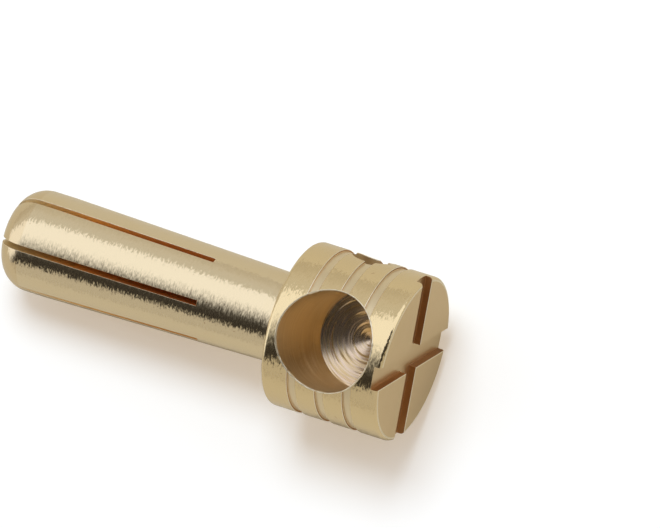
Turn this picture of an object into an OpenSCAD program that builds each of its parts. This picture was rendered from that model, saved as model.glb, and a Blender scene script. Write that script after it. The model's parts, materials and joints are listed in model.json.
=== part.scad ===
// Low-profile bullet connector for a battery lead.
// One turned, drilled and sawn brass piece: a short grooved head with a cross-drilled
// solder cup, and a plug pin that six saw-cut leaves make springy.
// It lies on the table as it comes to rest: on the head's inner rim and the tip of the pin,
// with the open cup upwards.

/* [Head] */
// Diameter of the head
head_d = 8.1; // [7.6:0.1:9.5]
// Length of the head along its axis
head_l = 6.1; // [5.9:0.1:8]
// Radius that breaks the head's two outer edges
head_edge_r = 0.2; // [0.1:0.05:0.3]

/* [Ring grooves] */
// Number of grooves round the head
groove_n = 3; // [1:1:3]
// Width of each groove
groove_w = 0.42; // [0.2:0.02:0.6]
// Depth of each groove
groove_depth = 0.12; // [0.06:0.02:0.3]
// Distance from one groove to the next
groove_pitch = 1.45; // [1:0.05:1.8]

/* [Solder cup] */
// Diameter of the cup that takes the wire
cup_d = 4.8; // [4:0.1:5]
// Depth of the cup's straight wall, from the crown of the head
cup_depth = 5.9; // [4.5:0.1:6.4]
// Angle of the drill point at the cup's bottom
cup_point_angle = 154; // [140:1:170]
// Distance of the cup's centre line from the end face
cup_pos = 3.15; // [3:0.05:3.3]

/* [Side port] */
// Diameter of the small port that runs into the cup from the side
port_d = 2.1; // [1:0.1:3]
// Distance of the port's centre line from the end face
port_pos = 3.3; // [2.5:0.1:3.6]

/* [Polarity mark] */
// Width of the two crossed channels in the end face
mark_w = 1.15; // [0.6:0.05:1.6]
// Depth of the channels
mark_depth = 0.36; // [0.1:0.02:0.5]
// Angle from the cup's mouth to the nearest channel, about the axis
mark_angle = -13.8; // [-45:0.2:45]

/* [Pin] */
// Length of the pin beyond the head
pin_l = 15.2; // [14:0.1:20]
// Diameter of the pin where it leaves the head
pin_root_d = 4.35; // [4:0.05:4.8]
// Diameter of the contact land at the end of the flared leaves
pin_d = 5; // [4.8:0.05:5.4]
// Length of the cylindrical contact land
land_l = 1; // [0.5:0.1:3]
// Radius that rounds the tip
tip_r = 1.4; // [0.8:0.05:1.8]

/* [Leaves] */
// Number of saw cuts across the pin, each making two slots
cut_n = 3; // [2:1:4]
// Width of the saw cuts
cut_w = 0.28; // [0.2:0.02:0.5]
// Length of the saw cuts from the tip
cut_l = 10.8; // [6:0.1:13]
// Angle from the cup's mouth to the first cut, about the axis
cut_angle = -7.5; // [-30:0.5:30]
// Diameter of the relief hole on the pin's axis, as deep as the cuts
relief_d = 0.9; // [0.6:0.1:1.6]

/* [Hidden] */
$fn = 96;
eps = 0.5;
head_r = head_d / 2;
pin_r = pin_d / 2;
total_l = head_l + pin_l;
land_start = total_l - tip_r - land_l;
cup_floor = head_r - cup_depth;
cup_point_l = cup_d / 2 / tan(cup_point_angle / 2);

// Rest on a table: the round of the head's inner rim and the round of the tip touch one
// line below the axis, which leans by rest_tilt from it, tip down.
rim_z = head_l - head_edge_r;
rim_r = head_r - head_edge_r;
tip_z = total_l - tip_r;
tip_round_r = pin_r - tip_r;
rest_span = norm([tip_z - rim_z, rim_r - tip_round_r]);
rest_tilt = atan2(rim_r - tip_round_r, tip_z - rim_z) + asin((head_edge_r - tip_r) / rest_span);
rest_height = rim_z * sin(rest_tilt) + rim_r * cos(rest_tilt) + head_edge_r;

// The metal that the cup and the port take away leaves the lightest side uppermost.
cup_moment = PI * pow(cup_d / 2, 2) * cup_depth * (head_r + cup_floor) / 2;
port_moment = PI * pow(port_d / 2, 2) * (pow(head_r, 2) - pow(cup_d / 2, 2)) / 2;
rest_roll = atan2(port_moment, cup_moment);

// Centre of the lying part along its length, between the tip's round and the end face's rim.
reach_tip = tip_z * cos(rest_tilt) + tip_round_r * sin(rest_tilt) + tip_r;
reach_end = rim_r * sin(rest_tilt) + head_edge_r * (1 - cos(rest_tilt));
rest_shift = (reach_tip - reach_end) / 2;

// Half section of the turned blank: the radius along X, the axis along Y.
module blank_section() {
    // head with rounded edges
    translate([0, head_edge_r]) square([head_r, head_l - 2 * head_edge_r]);
    square([rim_r, head_l]);
    for (z = [head_edge_r, rim_z]) translate([rim_r, z]) circle(head_edge_r);
    // tapered pin, contact land and tip
    polygon([
        [0, head_l - eps], [pin_root_d / 2, head_l - eps], [pin_root_d / 2, head_l],
        [pin_r, land_start], [pin_r, tip_z], [0, tip_z]
    ]);
    translate([0, tip_z - eps]) square([tip_round_r, tip_r + eps]);
    translate([tip_round_r, tip_z]) circle(tip_r);
}

// Turned blank along +Z, with its end face at the origin.
module blank() {
    rotate_extrude() intersection() {
        blank_section();
        square([head_d, 2 * total_l]);
    }
}

// Shallow grooves, spaced evenly about the middle of the head.
module grooves() {
    for (i = [0 : groove_n - 1]) {
        z = head_l / 2 + (i - (groove_n - 1) / 2) * groove_pitch;
        translate([0, 0, z - groove_w / 2]) difference() {
            cylinder(r = head_r + eps, h = groove_w);
            translate([0, 0, -eps]) cylinder(r = head_r - groove_depth, h = groove_w + 2 * eps);
        }
    }
}

// Solder cup, drilled from +X, with the flat cone of the drill point at its bottom.
module cup() {
    translate([cup_floor, 0, cup_pos]) rotate([0, 90, 0]) {
        cylinder(d = cup_d, h = cup_depth + eps);
        translate([0, 0, -cup_point_l]) cylinder(d1 = 0, d2 = cup_d, h = cup_point_l);
    }
}

// Port from +Y, which stops inside the cup.
module port() {
    translate([0, 0, port_pos]) rotate([-90, 0, 0]) cylinder(d = port_d, h = head_r + eps);
}

// Plus-shaped polarity mark: two channels right across the end face.
module polarity_mark() {
    for (a = [0, 90]) rotate([0, 0, mark_angle + a])
        translate([-head_d, -mark_w / 2, -eps]) cube([2 * head_d, mark_w, mark_depth + eps]);
}

// Saw cuts across the pin, and the relief hole where they meet.
module leaf_cuts() {
    for (i = [0 : cut_n - 1]) rotate([0, 0, cut_angle + i * 180 / cut_n])
        translate([-pin_d, -cut_w / 2, total_l - cut_l]) cube([2 * pin_d, cut_w, cut_l + eps]);
    translate([0, 0, total_l - cut_l]) cylinder(d = relief_d, h = cut_l + eps);
}

// Lays the part down: the pin towards -X, the lightest side up, the middle over the origin.
module at_rest() {
    translate([rest_shift, 0, rest_height])
        rotate([0, -90 - rest_tilt, 0]) rotate([0, 0, -rest_roll]) children();
}

module bullet_connector() {
    color("#d9c07a") at_rest() difference() {
        blank();
        grooves();
        cup();
        port();
        polarity_mark();
        leaf_cuts();
    }
}

bullet_connector();
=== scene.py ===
"""The looks of a gold-plated bullet connector, laid out as a Blender add-on.

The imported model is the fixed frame. The connector is made again over it as one finely
modelled piece: a lathe-turned blank, then the cuts that a workshop makes in it, each with
its own finish and a broken edge.
"""

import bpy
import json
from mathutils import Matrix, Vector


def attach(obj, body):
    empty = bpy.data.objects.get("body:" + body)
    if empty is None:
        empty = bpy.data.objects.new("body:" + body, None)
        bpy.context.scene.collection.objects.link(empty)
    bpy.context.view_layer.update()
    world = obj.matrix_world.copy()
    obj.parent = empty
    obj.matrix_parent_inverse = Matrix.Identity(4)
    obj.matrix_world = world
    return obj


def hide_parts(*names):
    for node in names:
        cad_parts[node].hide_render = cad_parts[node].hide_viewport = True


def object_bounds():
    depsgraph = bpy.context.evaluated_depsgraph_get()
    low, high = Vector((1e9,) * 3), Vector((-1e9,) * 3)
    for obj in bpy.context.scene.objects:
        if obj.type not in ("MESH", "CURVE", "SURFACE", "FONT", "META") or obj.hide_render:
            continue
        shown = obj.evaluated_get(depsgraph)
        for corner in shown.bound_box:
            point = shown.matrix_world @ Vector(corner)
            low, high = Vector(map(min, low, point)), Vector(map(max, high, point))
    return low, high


bl_info = {
    "name": "Gold bullet connector",
    "version": (1, 0, 0),
    "blender": (4, 5, 0),
    "location": "View3D > Sidebar > Connector",
    "description": "Turns, drills and saws a gold-plated bullet connector and lights it",
    "category": "Object",
}

import json
import math

import bpy
import numpy as np
from bpy.props import FloatProperty, FloatVectorProperty, IntProperty, PointerProperty
from mathutils import Matrix, Vector

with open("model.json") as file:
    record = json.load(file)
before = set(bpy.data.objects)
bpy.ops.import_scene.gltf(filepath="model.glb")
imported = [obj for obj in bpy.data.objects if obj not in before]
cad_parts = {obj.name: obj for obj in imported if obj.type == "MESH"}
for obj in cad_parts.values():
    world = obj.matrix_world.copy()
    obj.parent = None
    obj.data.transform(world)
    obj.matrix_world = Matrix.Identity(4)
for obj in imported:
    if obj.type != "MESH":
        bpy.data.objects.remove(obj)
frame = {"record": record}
CAD_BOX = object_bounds()

MM = 0.001
NODE = "bullet_connector"
PIECE = "turned_connector"
FINISHES = ("turned", "groove", "faced", "edge", "drilled", "drill_point", "sawn")
CHANNEL_SIDES = ("sawn", "sawn", "edge", "edge", "edge", "sawn", "sawn", "faced")
SAW_CUT_SIDES = ("edge", "sawn", "edge", "edge", "edge", "sawn", "edge", "edge")
SHARP_ANGLE = math.radians(30)

# How far the saw's and the drill's cutters reach out of the blank.
SAW_REACH = 0.3 * MM
DRILL_REACH = 0.35 * MM

# Steps round the blank, the cup's mouth, the burr's own section, the port and the relief hole.
BLANK_STEPS = 256
MOUTH_STEPS = 256
BURR_STEPS = 12
PORT_STEPS = 96
RELIEF_STEPS = 64


# ---------------------------------------------------------------- settings


def length(name, description, default):
    return FloatProperty(name=name, description=description, default=default, unit="LENGTH", precision=6)


def angle(name, description, default):
    return FloatProperty(
        name=name, description=description, default=math.radians(default), subtype="ANGLE"
    )


def fraction(name, description, default):
    return FloatProperty(name=name, description=description, default=default, min=0, max=1)


def colour(name, description, default):
    return FloatVectorProperty(
        name=name, description=description, default=default, size=3, subtype="COLOR", min=0, max=1
    )


class ConnectorSizes(bpy.types.PropertyGroup):
    head_radius: length("Head radius", "Radius of the grooved head", 4.05 * MM)
    head_length: length("Head length", "Length of the head along the axis", 6.1 * MM)
    head_edge: length("Head edge", "Radius of the head's two outer edges", 0.2 * MM)
    groove_count: IntProperty(name="Grooves", description="Ring grooves round the head", default=3)
    groove_width: length("Groove width", "Width of one ring groove", 0.42 * MM)
    groove_depth: length("Groove depth", "Depth of one ring groove", 0.12 * MM)
    groove_pitch: length("Groove pitch", "Distance between two ring grooves", 1.45 * MM)
    cup_radius: length("Cup radius", "Radius of the solder cup", 2.4 * MM)
    cup_depth: length("Cup depth", "Depth of the cup's wall from the head's crown", 5.9 * MM)
    cup_place: length("Cup place", "Distance of the cup's axis from the end face", 3.15 * MM)
    cup_point: angle("Drill point", "Full angle of the cone at the cup's bottom", 154)
    port_radius: length("Port radius", "Radius of the side port", 1.05 * MM)
    port_place: length("Port place", "Distance of the port's axis from the end face", 3.3 * MM)
    mark_width: length("Mark width", "Width of the plus mark's two channels", 1.15 * MM)
    mark_depth: length("Mark depth", "Depth of the plus mark's two channels", 0.36 * MM)
    mark_angle: angle("Mark angle", "Turn of the plus mark from the cup", -13.8)
    pin_length: length("Pin length", "Length of the pin beyond the head", 15.2 * MM)
    root_radius: length("Root radius", "Radius of the pin at the head", 2.175 * MM)
    pin_radius: length("Pin radius", "Radius of the pin's contact land", 2.5 * MM)
    land_length: length("Land length", "Length of the contact land", 1.0 * MM)
    tip_round: length("Tip round", "Radius that rounds the tip", 1.4 * MM)
    cut_count: IntProperty(name="Saw cuts", description="Saw cuts across the pin", default=3)
    cut_width: length("Cut width", "Width of a saw cut", 0.28 * MM)
    cut_length: length("Cut length", "Length of a saw cut from the tip", 10.8 * MM)
    cut_angle: angle("Cut angle", "Turn of the first saw cut from the cup", -7.5)
    relief_radius: length("Relief radius", "Radius of the hole where the cuts meet", 0.45 * MM)
    broken_edge: length("Broken edge", "Size of the bevel on each cut edge", 0.03 * MM)
    burr: length("Burr", "Radius of the burr round the cup's mouth", 0.036 * MM)


# ---------------------------------------------------------------- shapes


def own_frame(sizes):
    """The matrix from the connector's own axes to the row frame.

    X points out of the solder cup, Y out of the side port and Z from the end face to the
    tip. The mounts give the directions, and the contact land gives the place.
    """
    mounts = {m["name"]: m for m in frame["record"]["mounts"]}
    z = Vector(mounts["contact_pin"]["axis"]).normalized()
    x = Vector(mounts["solder_cup"]["axis"]).normalized()
    y = z.cross(x)
    total = sizes.head_length + sizes.pin_length
    land_middle = total - sizes.tip_round - sizes.land_length / 2
    origin = Vector(mounts["contact_pin"]["pos_m"]) - z * land_middle
    return Matrix.Translation(origin) @ Matrix((x, y, z)).transposed().to_4x4()


def arc(centre, radius, start, end, steps):
    """Points on a circle: the centre plus radius times (cos t, sin t), t from start to end."""
    t = np.radians(np.linspace(start, end, steps + 1))
    return np.stack([centre[0] + radius * np.cos(t), centre[1] + radius * np.sin(t)], 1)


def even(start, end, step=1 * MM):
    """Points along a straight line, no further apart than step."""
    start, end = np.array(start), np.array(end)
    steps = math.ceil(np.linalg.norm(end - start) / step)
    return start + (end - start) * np.linspace(0, 1, steps + 1)[:, None]


def blank_outline(s):
    """Half section of the turned blank: rows of (radius, distance from the end face).

    Each row's finish is that of the band which ends at it.
    """
    rim, total = s.head_radius - s.head_edge, s.head_length + s.pin_length
    b, root = s.broken_edge, s.root_radius + 2 * s.broken_edge
    tip, dome = total - s.tip_round, s.pin_radius - s.tip_round
    parts = [
        ("faced", [(0, 0), (rim, 0)]),
        ("edge", arc((rim, s.head_edge), s.head_edge, -90, -66, 2)[1:]),
        ("turned", arc((rim, s.head_edge), s.head_edge, -66, 0, 6)[1:]),
    ]
    for i in range(s.groove_count):
        z = s.head_length / 2 + (i - (s.groove_count - 1) / 2) * s.groove_pitch
        parts += groove(s, z)
    parts += [
        ("turned", [(s.head_radius, s.head_length - s.head_edge)]),
        ("turned", arc((rim, s.head_length - s.head_edge), s.head_edge, 0, 90, 8)[1:]),
        ("faced", [(root, s.head_length)]),
        ("turned", arc((root, s.head_length + 2 * b), 2 * b, 270, 180, 4)[1:]),
        ("turned", even((s.root_radius, s.head_length + 2 * b), (s.pin_radius, tip - s.land_length))[1:]),
        ("turned", even((s.pin_radius, tip - s.land_length), (s.pin_radius, tip))[1:]),
        ("turned", arc((dome, tip), s.tip_round, 0, 90, 24)[1:]),
        ("faced", [(0, total)]),
    ]
    outline = np.array([row for _, rows in parts for row in rows])
    return outline, [finish for finish, rows in parts for _ in rows][1:]


def groove(s, z):
    """One ring groove about z: square, with broken edges and corners."""
    half, b, top = s.groove_width / 2, s.broken_edge, s.head_radius
    floor = top - s.groove_depth
    into = [(top, -half - b), (top - b, -half), (floor + b, -half), (floor, -half + b)]
    out = [(r, -d) for r, d in reversed(into)]
    kinds = ("turned", "edge", "sawn", "groove", "groove", "drilled", "sawn", "edge")
    return [(kind, [(r, z + d)]) for kind, (r, d) in zip(kinds, into + out)]


def turned(outline, segments, about=(0, 0, 1), up=(1, 0, 0)):
    """Rings of a surface of revolution: radius times (cos t, sin t) about an axis."""
    t = np.linspace(0, 2 * math.pi, segments, endpoint=False)
    w, u = np.array(about, float), np.array(up, float)
    v = np.cross(w, u)
    ring = np.cos(t)[:, None] * u + np.sin(t)[:, None] * v
    return outline[:, 0, None, None] * ring + outline[:, 1, None, None] * w


def pin_radius_at(s, z):
    """Radius of the blank's pin at a distance z from the end face: taper, land and dome."""
    total = s.head_length + s.pin_length
    tip = total - s.tip_round
    taper = np.interp(z, [s.head_length, tip - s.land_length], [s.root_radius, s.pin_radius])
    drop = np.clip(z - tip, 0, s.tip_round)
    dome = s.pin_radius - s.tip_round + np.sqrt(s.tip_round**2 - drop**2)
    return np.where(z > tip, dome, taper)


def saw_cut(s, turn):
    """Rings of a saw cut: an eight-cornered section carried along the pin's axis.

    The section's long way is the pin's diameter. Its width is that of the saw up to one
    broken edge under the pin's surface, and widens at 45 degrees from there outwards. The
    two end rings open in the same way, so every edge of the slot is bevelled.
    """
    total, b, out = s.head_length + s.pin_length, s.broken_edge / 2, SAW_REACH
    start, tip = total - s.cut_length, total - s.tip_round
    dome = tip + s.tip_round * np.sin(np.radians(np.linspace(0, 76, 15)))
    z = np.concatenate([np.linspace(start, tip, 12)[:-1], dome, [total - b, total + out]])
    radius = pin_radius_at(s, np.minimum(z, total))
    inner, outer = radius - b, radius + out
    narrow, wide = np.full_like(z, s.cut_width / 2), np.full_like(z, s.cut_width / 2 + b + out)
    narrow[-1] = wide[-1]
    outer_z = z.copy()
    outer_z[0] -= b + out
    u = np.stack([outer, inner, -inner, -outer, -outer, -inner, inner, outer], 1)
    v = np.stack([wide, narrow, narrow, wide, -wide, -narrow, -narrow, -wide], 1)
    w = np.stack([outer_z, z, z, outer_z, outer_z, z, z, outer_z], 1)
    x, y = u * math.cos(turn) - v * math.sin(turn), u * math.sin(turn) + v * math.cos(turn)
    return np.stack([x, y, w], 2)


def ragged(t, waves=((5, 0.3), (13, 1.1), (29, 2.3), (47, 0.7))):
    """A number from 0 to 1 round a rim: the mean of a few sine waves of t."""
    return 0.5 + 0.5 * np.mean([np.sin(n * t + p) for n, p in waves], 0)


def side_hole(s, radius, place, bottom, about, across, segments, bevel):
    """Rings of a hole drilled into the head's round side.

    bottom is the part of the outline below the wall, as rows of (radius, height). The wall
    rises to the saddle in which the hole meets the head: height squared is the head's
    radius squared less the part of the hole's radius that lies across the head, squared.
    From a little below that line the hole widens at 45 degrees. How far below is the bevel
    times a number that varies round the mouth, from 0.7 to 1.8.
    """
    t = np.linspace(0, 2 * math.pi, segments, endpoint=False)
    saddle = np.sqrt(s.head_radius**2 - (radius * np.cos(t)) ** 2)
    b, out = bevel * (0.7 + 1.1 * ragged(t)), DRILL_REACH
    rows = [(np.full(segments, r), np.full(segments, h)) for r, h in bottom]
    rows.append((np.full(segments, radius), saddle - b))
    rows.append((radius + b + out, saddle + out))
    rows.append((np.zeros(segments), np.full(segments, s.head_radius + 2 * out)))
    r, h = (np.stack(x) for x in zip(*rows))
    w, u = np.array(about, float), np.array(across, float)
    along = np.array((0, 0, 1.0))
    points = r[..., None] * (np.cos(t)[:, None] * u + np.sin(t)[:, None] * along)
    return points + h[..., None] * w + place * along


def channel(s, turn):
    """Rings of one channel of the plus mark: a bevelled trench section along a diameter."""
    b, out, half, depth = s.broken_edge, SAW_REACH, s.mark_width / 2, s.mark_depth
    side = np.array([(half - b, depth), (half, depth - b), (half, b), (half + b + out, -out)])
    v = np.concatenate([side[:, 0], -side[::-1, 0]]) * np.ones((2, 1))
    w = np.concatenate([side[:, 1], side[::-1, 1]]) * np.ones((2, 1))
    u = s.head_radius * np.array([[-1.2], [1.2]]) * np.ones(8)
    x, y = u * math.cos(turn) - v * math.sin(turn), u * math.sin(turn) + v * math.cos(turn)
    return np.stack([x, y, w], 2)


def skin(name, rings, finish, materials, by_side=False, loop=False):
    """A closed mesh from rings of points, (rows, points round, 3).

    Neighbouring rings are joined by four-sided faces. An end ring that is a single point
    becomes a fan, and any other end ring is closed by a ladder of faces across it, unless
    loop joins the last ring to the first. finish names the material of each band, or with
    by_side that of each side of the section.
    """
    rows, around = rings.shape[:2]
    points, index = [], np.zeros((rows, around), int)
    count = 0
    for i, ring in enumerate(rings):
        if np.ptp(ring, axis=0).max() < 1e-9:
            points.append(ring[:1])
            index[i] = count
            count += 1
        else:
            points.append(ring)
            index[i] = count + np.arange(around)
            count += around
    if loop:
        index = np.concatenate([index, index[:1]])
    names = np.array([FINISHES.index(kind) for kind in finish])
    bands = np.tile(names, (len(index) - 1, 1)) if by_side else np.repeat(names[:, None], around, 1)
    faces, kinds = [], bands.ravel().tolist()
    for a, b in zip(index, index[1:]):
        quads = np.stack([a, np.roll(a, -1), np.roll(b, -1), b], 1)
        faces += [list(dict.fromkeys(q)) for q in quads.tolist()]
    for ring, last in ((0, False), (rows - 1, True)):
        if not loop and index[ring, 0] != index[ring, 1]:
            going, coming = index[ring, : around // 2], index[ring, : around // 2 - 1 : -1]
            ladder = np.stack([going[:-1], going[1:], coming[1:], coming[:-1]], 1)
            faces += (ladder if last else ladder[:, ::-1]).tolist()
            kinds += [bands[-1 if last else 0, 1]] * len(ladder)
    mesh = bpy.data.meshes.new(name)
    mesh.from_pydata(np.concatenate(points).tolist(), [], faces)
    mesh.polygons.foreach_set("material_index", np.array(kinds, np.int32))
    for material in materials:
        mesh.materials.append(material)
    if volume(mesh) < 0:
        mesh.flip_normals()
    return mesh


def volume(mesh):
    """Volume inside a closed mesh: a sixth of the sum of each triangle's triple product."""
    mesh.calc_loop_triangles()
    corners = np.empty(len(mesh.loop_triangles) * 3, np.int32)
    mesh.loop_triangles.foreach_get("vertices", corners)
    points = np.empty(len(mesh.vertices) * 3, np.float32)
    mesh.vertices.foreach_get("co", points)
    a, b, c = points.reshape(-1, 3).astype(float)[corners.reshape(-1, 3)].transpose(1, 0, 2)
    return np.einsum("ij,ij->i", a, np.cross(b, c)).sum() / 6


def cut_piece(name, blank, cutters, raised):
    """The blank less each cutter and with what is raised on it, as one mesh."""
    body = bpy.data.objects.new(name, blank)
    bpy.context.scene.collection.objects.link(body)
    tools = []
    for mesh in (*cutters, raised):
        tool = bpy.data.objects.new(mesh.name, mesh)
        bpy.context.scene.collection.objects.link(tool)
        step = body.modifiers.new(mesh.name, "BOOLEAN")
        step.operation = "UNION" if mesh == raised else "DIFFERENCE"
        step.solver, step.object = "MANIFOLD", tool
        tools.append(tool)
    apply_modifiers(body)
    for tool in tools:
        bpy.data.objects.remove(tool)
    body.data.shade_smooth()
    body.data.set_sharp_from_angle(angle=SHARP_ANGLE)
    soften = body.modifiers.new("soften", "WEIGHTED_NORMAL")
    soften.keep_sharp, soften.weight = True, 100
    apply_modifiers(body)
    return body


def apply_modifiers(piece):
    """Gives the piece the mesh that its modifiers make, and removes them."""
    bpy.context.view_layer.update()
    depsgraph = bpy.context.evaluated_depsgraph_get()
    piece.data = bpy.data.meshes.new_from_object(piece.evaluated_get(depsgraph))
    piece.modifiers.clear()


def drilled_cup(s, materials):
    """The cutter of the solder cup: a cone whose face falls from the wall to the point."""
    floor = s.head_radius - s.cup_depth
    fall = s.cup_radius / math.tan(s.cup_point / 2)
    share = np.linspace(0, 1, 13)
    bottom = np.stack([s.cup_radius * share, floor - fall * (1 - share)], 1)
    rings = side_hole(
        s, s.cup_radius, s.cup_place, bottom,
        about=(1, 0, 0), across=(0, 1, 0), segments=MOUTH_STEPS, bevel=1.3 * s.broken_edge,
    )
    finish = ["drill_point"] * (len(share) - 1) + ["drilled", "edge", "edge"]
    return skin("cup", rings, finish, materials)


def cup_burr(s, materials):
    """The burr round the cup's mouth: a ragged tube.

    Its middle runs along the saddle in which a hole a little wider than the cup meets the
    head. Its radius is the burr's size times a number that varies round the mouth, from
    0.35 to 1.35.
    """
    t = np.linspace(0, 2 * math.pi, MOUTH_STEPS, endpoint=False)
    u = np.linspace(0, 2 * math.pi, BURR_STEPS, endpoint=False)[:, None]
    thick = s.burr * (0.35 + ragged(t))
    middle = s.cup_radius + 1.4 * s.broken_edge
    saddle = np.sqrt(s.head_radius**2 - (middle * np.cos(t)) ** 2)
    r, h = middle + thick * np.cos(u), saddle + thick * np.sin(u)
    rings = np.stack([h, r * np.cos(t), s.cup_place + r * np.sin(t)], 2)
    return skin("burr", rings, ["edge"] * len(u), materials, loop=True)


def drilled_port(s, materials):
    """The cutter of the side port, from inside the cup out through the head's side."""
    bottom = [(0, 0), (s.port_radius, 0)]
    rings = side_hole(
        s, s.port_radius, s.port_place, bottom,
        about=(0, 1, 0), across=(1, 0, 0), segments=PORT_STEPS, bevel=s.broken_edge,
    )
    return skin("port", rings, ["drilled", "drilled", "edge", "edge"], materials)


def relief_hole(s, materials):
    """The cutter of the hole on the pin's axis, as deep as the saw cuts."""
    total = s.head_length + s.pin_length
    start, end = total - s.cut_length, total + s.broken_edge
    outline = np.array([(0, start), (s.relief_radius, start), (s.relief_radius, end), (0, end)])
    return skin("relief", turned(outline, RELIEF_STEPS), ["drilled"] * 3, materials)


# ---------------------------------------------------------------- shader maths


class Socket:
    """An output socket in a node tree. Arithmetic on it adds Math nodes."""

    def __init__(self, tree, socket=None):
        self.tree, self.socket = tree, socket

    def node(self, kind, inputs=(), output=0, **settings):
        """Adds a node: its settings first, then its sockets' values or links, by name or number."""
        node = self.tree.nodes.new(kind)
        for name, value in settings.items():
            setattr(node, name, value)
        for key, value in dict(inputs).items():
            if isinstance(value, Socket):
                self.tree.links.new(value.socket, node.inputs[key])
            else:
                node.inputs[key].default_value = value
        return Socket(self.tree, node.outputs[output])

    def into(self, node, name):
        self.tree.links.new(self.socket, node.inputs[name])

    def maths(self, operation, *others):
        return self.node("ShaderNodeMath", enumerate((self, *others)), operation=operation)

    def vector(self, operation, *others, output=0):
        return self.node("ShaderNodeVectorMath", enumerate((self, *others)), output, operation=operation)

    def along(self, direction):
        """How far this vector reaches in a direction."""
        return self.vector("DOT_PRODUCT", direction, output="Value")

    def mix(self, first, second):
        """The colour first where this is 0, second where it is 1."""
        shades = [shade if isinstance(shade, Socket) else (*shade, 1) for shade in (first, second)]
        return self.node("ShaderNodeMix", {0: self, 6: shades[0], 7: shades[1]}, 2, data_type="RGBA")

    def rise(self, low, high):
        """0 below low, 1 above high and a smooth step between."""
        inputs = {"Value": self, "From Min": low, "From Max": high}
        return self.node("ShaderNodeMapRange", inputs, interpolation_type="SMOOTHSTEP")

    def ramp(self, *stops):
        """A colour for a value from 0 to 1, from stops of (place, colour)."""
        found = self.node("ShaderNodeValToRGB", {"Fac": self})
        elements = found.socket.node.color_ramp.elements
        for element, (place, shade) in zip([*elements], (stops[0], stops[-1])):
            element.position, element.color = place, (*shade, 1)
        for place, shade in stops[1:-1]:
            elements.new(place).color = (*shade, 1)
        return found

    def __add__(self, other):
        return self.maths("ADD", other)

    def __sub__(self, other):
        return self.maths("SUBTRACT", other)

    def __mul__(self, other):
        return self.maths("MULTIPLY", other)

    def __neg__(self):
        return self * -1.0

    def __rsub__(self, other):
        return -self + other

    __radd__, __rmul__ = __add__, __mul__


# ---------------------------------------------------------------- finishes


class FinishLooks(bpy.types.PropertyGroup):
    plating: colour("Plating", "Colour of the bright plating on the pin", (0.92, 0.79, 0.55))
    plating_head: colour("Head plating", "Colour of the thicker plating on the head", (0.92, 0.755, 0.46))
    faced: colour("Faces", "Colour of the end face and the plus mark's floor", (0.82, 0.645, 0.39))
    cup_gold: colour("Cup wall", "Colour of the metal that the drill left", (0.80, 0.62, 0.36))
    cup_light: colour("Cup streaks", "Colour of the brighter streaks in the cup", (0.90, 0.72, 0.43))
    point_gold: colour("Drill point", "Colour of the scraped cone at the cup's bottom", (0.88, 0.72, 0.57))
    sawn: colour("Sawn metal", "Colour of the walls that the saw cut", (0.80, 0.44, 0.15))
    sawn_tip: colour("Sawn tip", "Colour of the sawn walls near the tip", (0.97, 0.66, 0.28))
    # A darker copy of the sawn orange: painted shade on the plus mark's and the grooves' walls. It is also
    # the colour of the dark specks on the turned faces.
    recess_shade_and_specks: colour("Painted recess shade and specks", "Colour of the plus mark's walls", (0.44, 0.215, 0.085))
    # The broken edges' pale colour is a painted highlight, on top of the real light that the bevels catch.
    edge_highlight_gold: colour("Edges", "Colour of the broken edges", (0.97, 0.88, 0.68))
    polish: fraction("Polish", "Roughness of the turned faces", 0.15)
    satin: fraction("Satin", "Roughness of the faced, grooved and bevelled surfaces", 0.33)
    drilled_wall: fraction("Drilled wall", "Roughness of the drilled walls", 0.42)
    scraped: fraction("Scraped", "Roughness of the cone at the cup's bottom", 0.22)
    sawn_wall: fraction("Sawn wall", "Roughness of the walls that the saw cut", 0.5)
    chatter: fraction("Chatter", "How far the turning marks lean round the axis", 0.36)


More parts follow.
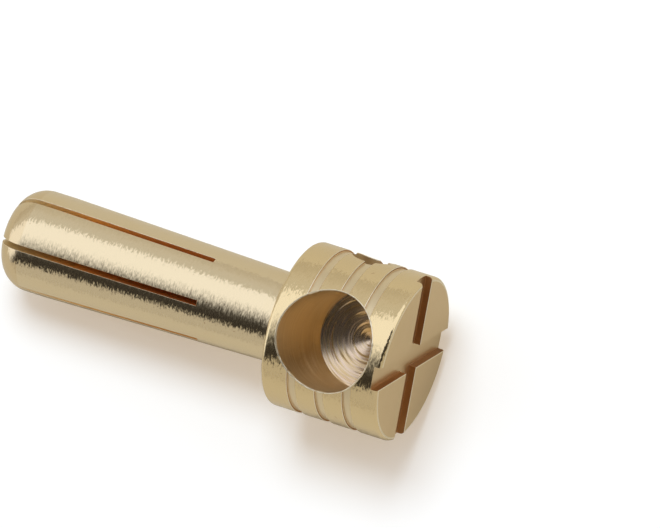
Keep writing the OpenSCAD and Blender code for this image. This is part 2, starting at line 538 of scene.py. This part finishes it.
class Metal:
    """One finish in the making: a metallic material, and what its patterns are worked out from.

    place is the surface point in the connector's own axes, in millimetres. normal starts
    as the surface's own, and each pattern leans it a little before it goes to the shader.
    """

    def __init__(self, name, own, tint, roughness):
        self.material = bpy.data.materials.new(name)
        self.material.use_nodes = True
        tree = self.material.node_tree
        self.shader = tree.nodes["Principled BSDF"]
        self.shader.inputs["Metallic"].default_value = 1
        self.shader.inputs["Base Color"].default_value = (*tint, 1)
        self.shader.inputs["Roughness"].default_value = roughness
        self.own = own
        row_place = Socket(tree).node("ShaderNodeTexCoord", output="Object")
        lie = {"Location": own.translation, "Rotation": own.to_euler(), "Scale": (MM,) * 3}
        self.place = row_place.node(
            "ShaderNodeMapping", {"Vector": row_place, **lie}, vector_type="TEXTURE",
        )
        self.normal = row_place.node("ShaderNodeNewGeometry", output="Normal")

    def height(self):
        """Distance from the end face, in millimetres."""
        return self.place.along((0, 0, 1))

    def axis(self, number):
        """One of the own axes, as a direction in the row frame that can be scaled."""
        return self.place.node("ShaderNodeCombineXYZ", enumerate(self.own.col[number].xyz))

    def from_axis(self, number, through=(0, 0, 0)):
        """The way out from one of the own axes through a point, and how far out the surface is.

        The way out is in the row frame, as the normal is: what is left of the place when
        its part along the axis is taken away, turned as the connector lies.
        """
        flat = [0.0 if i == number else 1.0 for i in range(3)]
        away = self.place.vector("SUBTRACT", through).vector("MULTIPLY", flat)
        turned_round = away.node(
            "ShaderNodeVectorRotate", {"Vector": away.vector("NORMALIZE"), "Rotation": self.own.to_euler()},
            rotation_type="EULER_XYZ",
        )
        return turned_round, away.vector("LENGTH", output="Value")

    def noise(self, scale, detail=2.0, seed=0.0, at=None):
        """Fractal noise about 0. scale is the number of features per millimetre each way."""
        stretched = (at or self.place).vector("MULTIPLY", scale)
        found = stretched.node(
            "ShaderNodeTexNoise", {"Vector": stretched, "W": seed, "Scale": 1.0, "Detail": detail},
            noise_dimensions="4D",
        )
        return found - 0.5

    def rings(self, far, fineness, seed=0.0):
        """Noise drawn out into long arcs: quick with the distance far, slow over the surface."""
        spread = far.node("ShaderNodeCombineXYZ", {0: far * fineness})
        slow = self.place.vector("MULTIPLY", (0.6,) * 3)
        return self.noise((1, 1, 1), 2.0, seed, at=spread.vector("ADD", slow))

    def lean(self, direction, amount):
        """Leans the normal along a direction by an amount that varies over the surface."""
        step = direction.node("ShaderNodeVectorMath", {0: direction, "Scale": amount}, operation="SCALE")
        self.normal = self.normal.vector("ADD", step).vector("NORMALIZE")

    def tint(self, shade):
        """Gives the metal a colour that varies over the surface."""
        shade.into(self.shader, "Base Color")

    def done(self):
        self.normal.into(self.shader, "Normal")
        return self.material


def turned_gold(own, looks, head_end, dome_start):
    """Plated metal with a lathe's marks: short hairs round the axis that lean each way.

    The head's plating gives way to the pin's at the head's end, within blend each way.
    """
    blend = 0.2
    metal = Metal("turned_gold", own, looks.plating, looks.polish)
    outwards, _ = metal.from_axis(2)
    around = metal.axis(2).vector("CROSS_PRODUCT", outwards)
    long_hairs = metal.noise((3, 3, 14)) * 0.35
    short_hairs = metal.noise((6, 6, 15), detail=3, seed=5.0) * 1.15
    hairs = long_hairs + short_hairs
    metal.lean(around, hairs * looks.chatter)
    metal.lean(metal.axis(2), metal.noise((2, 2, 18), seed=3.0) * 0.08)
    stain = metal.noise((0.5, 0.5, 0.4), detail=3, seed=7.0).rise(0.0, 0.3) * 0.5
    beyond_head = metal.height().rise(head_end - blend, head_end + blend)
    plain = beyond_head.mix(looks.plating_head, looks.plating)
    specks = metal.noise((5, 5, 6), detail=1, seed=12.0).rise(0.24, 0.3) * 0.6
    shade = specks.mix(stain.mix(plain, looks.plating_head), looks.recess_shade_and_specks)
    dome = metal.height().rise(dome_start, dome_start + 0.08)
    metal.tint((dome * 0.45).mix(shade, looks.faced))
    return metal.done()


def groove_gold(own, looks):
    """The grooves' floors: a little duller and paler than the turned faces beside them."""
    metal = Metal("groove_gold", own, looks.plating, looks.satin)
    metal.lean(metal.axis(2), metal.noise((1.5, 1.5, 14), seed=2.0) * 0.3)
    return metal.done()


def faced_gold(own, looks):
    """A face cut square across the axis: fine rings about the centre, and broad stains."""
    metal = Metal("faced_gold", own, looks.faced, looks.satin)
    outwards, far = metal.from_axis(2)
    metal.lean(outwards, metal.rings(far, 9) * 0.08 + metal.rings(far, 26, seed=4.0) * 0.06)
    stain = metal.noise((0.45, 0.45, 0.45), detail=4, seed=9.0).rise(-0.15, 0.25) * 0.6
    metal.tint(stain.mix(looks.faced, looks.cup_gold))
    return metal.done()


def edge_highlight_gold(own, looks):
    """The broken edges: paler than the plating, a painted highlight, and uneven enough to sparkle."""
    metal = Metal("edge_highlight_gold", own, looks.edge_highlight_gold, looks.satin)
    outwards, _ = metal.from_axis(2)
    metal.lean(outwards, metal.noise((7, 7, 7), detail=3) * 0.7)
    metal.lean(metal.axis(2), metal.noise((7, 7, 7), detail=3, seed=6.0) * 0.7)
    return metal.done()


def drilled_gold(own, looks):
    """The drilled walls: brown gold, with faint marks round the cup."""
    metal = Metal("drilled_gold", own, looks.cup_gold, looks.drilled_wall)
    metal.lean(metal.axis(0), metal.noise((9, 0.4, 0.4), seed=1.0) * 0.35)
    streak = metal.noise((7, 0.35, 0.35), seed=4.0).rise(-0.12, 0.2) * 0.6
    metal.tint(streak.mix(looks.cup_gold, looks.cup_light))
    return metal.done()


def point_gold(own, looks, cup_place):
    """The cone that the drill's point scraped: strong rings about the cup's axis."""
    metal = Metal("drill_point_gold", own, looks.point_gold, looks.scraped)
    outwards, far = metal.from_axis(0, (0, 0, cup_place / MM))
    scrape = metal.rings(far, 3.5, seed=2.0) * 0.3 + metal.rings(far, 9.5, seed=8.0) * 0.85
    metal.lean(outwards, scrape)
    shade = metal.rings(far, 8.5, seed=11.0).rise(-0.06, 0.14) * 0.9
    metal.tint(shade.mix(looks.point_gold, looks.cup_gold))
    return metal.done()


def sawn_gold(own, looks, total):
    """The sawn walls: bare and orange, with the saw's lines, and plated again at the tip.
    Near the end face, in the plus mark's walls and the grooves' walls, they take a darker
    copy of the orange, which is painted shade.

    The saw rolls their edges outwards a little, which lets light down into the cut.
    """
    metal = Metal("sawn_gold", own, looks.sawn, looks.sawn_wall)
    outwards, _ = metal.from_axis(2)
    metal.lean(outwards, 0.2)
    metal.lean(metal.axis(0), metal.noise((8, 8, 0.7), seed=1.0) * 0.25)
    # Up the axis: first the darker copy of the orange, painted shade in the plus mark's and the grooves'
    # walls, then the sawn orange, then paler and golden towards the tip.
    tone = (metal.height() * (1 / total)).ramp(
        (0.0, looks.recess_shade_and_specks), (0.1, looks.recess_shade_and_specks), (0.45, looks.sawn), (0.6, looks.sawn),
        (0.8, looks.sawn_tip), (0.96, looks.plating),
    )
    metal.tint(tone)
    return metal.done()


def make_finishes(own, looks, sizes):
    """The materials in the order of FINISHES. Places along the axis are in millimetres."""
    head_end = sizes.head_length / MM
    total = head_end + sizes.pin_length / MM
    dome_start = total - sizes.tip_round / MM
    return [
        turned_gold(own, looks, head_end, dome_start),
        groove_gold(own, looks),
        faced_gold(own, looks),
        edge_highlight_gold(own, looks),
        drilled_gold(own, looks),
        point_gold(own, looks, sizes.cup_place),
        sawn_gold(own, looks, total),
    ]


# ---------------------------------------------------------------- studio


class StudioLooks(bpy.types.PropertyGroup):
    floor: colour("Floor", "Colour of the floor", (0.42, 0.37, 0.27))
    sweep: colour("Sweep", "Colour of the floor where the camera sees it", (0.62, 0.74, 0.85))
    lift: colour("Lift", "Light that the floor gives the camera, which makes it white", (0.38, 0.27, 0.17))
    gloss_share: fraction("Gloss share", "How much of the white floor shows in the metal", 0.2)
    floor_reach: length("Floor reach", "From the middle of the floor to its sides", 1.5)
    key_size: length("Key size", "Diameter of the key light", 0.2)
    key_power: FloatProperty(name="Key power", description="Power of the key light in watts", default=1.1)
    key_place: FloatVectorProperty(
        name="Key place", description="Where the key light stands, from the middle of the part", size=3,
        default=(-0.05, 0.17, 0.38), unit="LENGTH", precision=6,
    )
    azimuth: angle("Azimuth", "Where the camera stands round the part", 80.0)
    elevation: angle("Elevation", "Height of the camera above the horizon", 76.2)
    roll: angle("Roll", "Turn of the camera about its own line of sight", -62.0)
    distance: length("Distance", "From the camera to the part's middle plane", 0.3812)
    lens: FloatProperty(name="Lens", description="Focal length in millimetres", default=436.4)
    aim: FloatVectorProperty(
        name="Aim", description="Where the camera aims, from the middle of the part", size=3,
        default=(0.0047906, 0.0031636, -0.0010224), unit="LENGTH", precision=6,
    )


def background_share(start, gloss_share):
    """1 for the camera's own rays, and a share of that for rays off metal or through glass."""
    ray = {
        name: start.node("ShaderNodeLightPath", output=f"Is {name} Ray")
        for name in ("Camera", "Glossy", "Transmission")
    }
    return ray["Camera"] + (ray["Glossy"] + ray["Transmission"]) * gloss_share


def tent(own, looks):
    """The world: a tent of light round the part, as a colour for each direction.

    The angle is taken about the pin's axis, from the solder cup's side towards the side
    port's, and drifts with how far the direction points along the axis. A bright card
    stands on one side of a border and a dark gap on the other. The border is soft towards
    the tip and sharp towards the head, and the gap closes far out beyond the tip. The
    metal shows the tent itself, so rays off it have no share of the white background.
    """
    world = bpy.data.worlds.new("studio")
    bpy.context.scene.world = world
    world.use_nodes = True
    tree = world.node_tree
    direction = Socket(tree).node("ShaderNodeTexCoord", output="Generated")
    out, side, along = (direction.along(own.col[i].xyz) for i in range(3))
    drift, drift_from = 43, 0.34
    turn = side.maths("ARCTAN2", out) * math.degrees(1) + (along - drift_from) * drift
    circle = turn * (1 / 360) + 0.5
    white, dim = (0.98, 0.98, 1.0), (0.51, 0.47, 0.40)
    dark, less_dark, least_dark = (0.02, 0.016, 0.012), (0.045, 0.04, 0.035), (0.05, 0.04, 0.035)
    grey, pale_grey, warm_grey = (0.56, 0.54, 0.49), (0.61, 0.58, 0.53), (0.56, 0.52, 0.45)
    gap = circle.ramp((0.0, dim), (0.342, dim), (0.362, dark), (0.42, less_dark), (1.0, least_dark))
    card = circle.ramp(
        (0.0, white), (0.632, white), (0.645, grey), (0.683, pale_grey),
        (0.72, warm_grey), (0.76, dim), (1.0, dim),
    )
    softening, sharpest, softest = 74, 4, 25
    softness = (along * softening).maths("MAXIMUM", sharpest).maths("MINIMUM", softest)
    border_turn, closing_from, closing = -7, 0.42, 130
    middle = border_turn - (along - closing_from).maths("MAXIMUM", 0) * closing
    border = turn.rise(middle - softness, middle + softness)
    glow = border.mix(gap, card)
    shown = background_share(direction, 0).mix(glow, (1, 1, 1))
    shown.into(tree.nodes["Background"], "Color")


def floor_material(looks):
    """A pale matt floor. The camera sees it white, apart from the object's shadow."""
    material = bpy.data.materials.new("pale_floor")
    material.use_nodes = True
    tree = material.node_tree
    shader = tree.nodes["Principled BSDF"]
    shader.inputs["Roughness"].default_value = 0.9
    shader.inputs["Specular IOR Level"].default_value = 0.0
    shader.inputs["Emission Strength"].default_value = 1.0
    seen = background_share(Socket(tree), looks.gloss_share)
    seen.mix(looks.floor, looks.sweep).into(shader, "Base Color")
    seen.mix((0, 0, 0), looks.lift).into(shader, "Emission Color")
    return material


# ---------------------------------------------------------------- operators


class CONNECTOR_OT_turn(bpy.types.Operator):
    """Turn the blank, make every cut in it and put the finished connector in place"""

    bl_idname = "connector.turn"
    bl_label = "Turned connector"

    def execute(self, context):
        sizes, looks = context.scene.connector_sizes, context.scene.connector_looks
        own = own_frame(sizes)
        materials = make_finishes(own, looks, sizes)
        outline, finish = blank_outline(sizes)
        blank = skin("blank", turned(outline, BLANK_STEPS), finish, materials)
        cutters = [drilled_cup(sizes, materials), drilled_port(sizes, materials)]
        for i in range(2):
            rings = channel(sizes, sizes.mark_angle + i * math.pi / 2)
            cutters.append(skin("channel", rings, CHANNEL_SIDES, materials, by_side=True))
        for i in range(sizes.cut_count):
            rings = saw_cut(sizes, sizes.cut_angle + i * math.pi / sizes.cut_count)
            cutters.append(skin("saw_cut", rings, SAW_CUT_SIDES, materials, by_side=True))
        cutters.append(relief_hole(sizes, materials))
        piece = cut_piece(PIECE, blank, cutters, cup_burr(sizes, materials))
        piece.data.transform(own)
        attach(piece, "root")
        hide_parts(NODE)
        return {"FINISHED"}


class CONNECTOR_OT_stage(bpy.types.Operator):
    """Lay the pale floor, put up the light tent and the key light, and aim the camera"""

    bl_idname = "connector.stage"
    bl_label = "Floor, light and camera"

    def execute(self, context):
        looks, sizes = context.scene.connector_studio, context.scene.connector_sizes
        scene = context.scene
        middle = (CAD_BOX[0] + CAD_BOX[1]) / 2
        reach = looks.floor_reach
        corners = [(-reach, -reach, 0), (reach, -reach, 0), (reach, reach, 0), (-reach, reach, 0)]
        mesh = bpy.data.meshes.new("floor")
        mesh.from_pydata(corners, [], [(0, 1, 2, 3)])
        mesh.materials.append(floor_material(looks))
        floor = bpy.data.objects.new("floor", mesh)
        scene.collection.objects.link(floor)
        tent(own_frame(sizes), looks)
        light = bpy.data.lights.new("key", "AREA")
        light.shape, light.size, light.energy = "DISK", looks.key_size, looks.key_power
        key = bpy.data.objects.new("key", light)
        key.location = middle + Vector(looks.key_place)
        key.rotation_euler = (middle - key.location).to_track_quat("-Z", "Y").to_euler()
        key.visible_camera = key.visible_glossy = False
        scene.collection.objects.link(key)
        camera = bpy.data.cameras.new("camera")
        camera.lens, camera.clip_start, camera.clip_end = looks.lens, 0.01, 10
        eye = bpy.data.objects.new("camera", camera)
        back = Vector((
            math.sin(looks.azimuth) * math.cos(looks.elevation),
            -math.cos(looks.azimuth) * math.cos(looks.elevation),
            math.sin(looks.elevation),
        ))
        eye.location = middle + Vector(looks.aim) + back * looks.distance
        sight = (-back).to_track_quat("-Z", "Y").to_matrix()
        eye.rotation_euler = (sight @ Matrix.Rotation(looks.roll, 3, "Z")).to_euler()
        scene.collection.objects.link(eye)
        scene.camera = eye
        scene.view_settings.view_transform = "Standard"
        return {"FINISHED"}


class CONNECTOR_PT_panel(bpy.types.Panel):
    """The sizes and looks that can be set, and the steps that make the connector"""

    bl_label = "Bullet connector"
    bl_space_type = "VIEW_3D"
    bl_region_type = "UI"
    bl_category = "Connector"

    def draw(self, context):
        for place in GROUPS:
            group = getattr(context.scene, place)
            for name in group.__annotations__:
                self.layout.prop(group, name)
        for step in STEPS:
            self.layout.operator(step.bl_idname)


STEPS = (CONNECTOR_OT_turn, CONNECTOR_OT_stage)
GROUPS = {"connector_sizes": ConnectorSizes, "connector_looks": FinishLooks, "connector_studio": StudioLooks}


def register():
    for cls in (*GROUPS.values(), *STEPS, CONNECTOR_PT_panel):
        bpy.utils.register_class(cls)
    for name, group in GROUPS.items():
        setattr(bpy.types.Scene, name, PointerProperty(type=group))


def unregister():
    for name in GROUPS:
        delattr(bpy.types.Scene, name)
    for cls in (CONNECTOR_PT_panel, *STEPS, *GROUPS.values()):
        bpy.utils.unregister_class(cls)


def main():
    register()
    bpy.ops.connector.turn()
    bpy.ops.connector.stage()


if __name__ == "__main__":
    main()
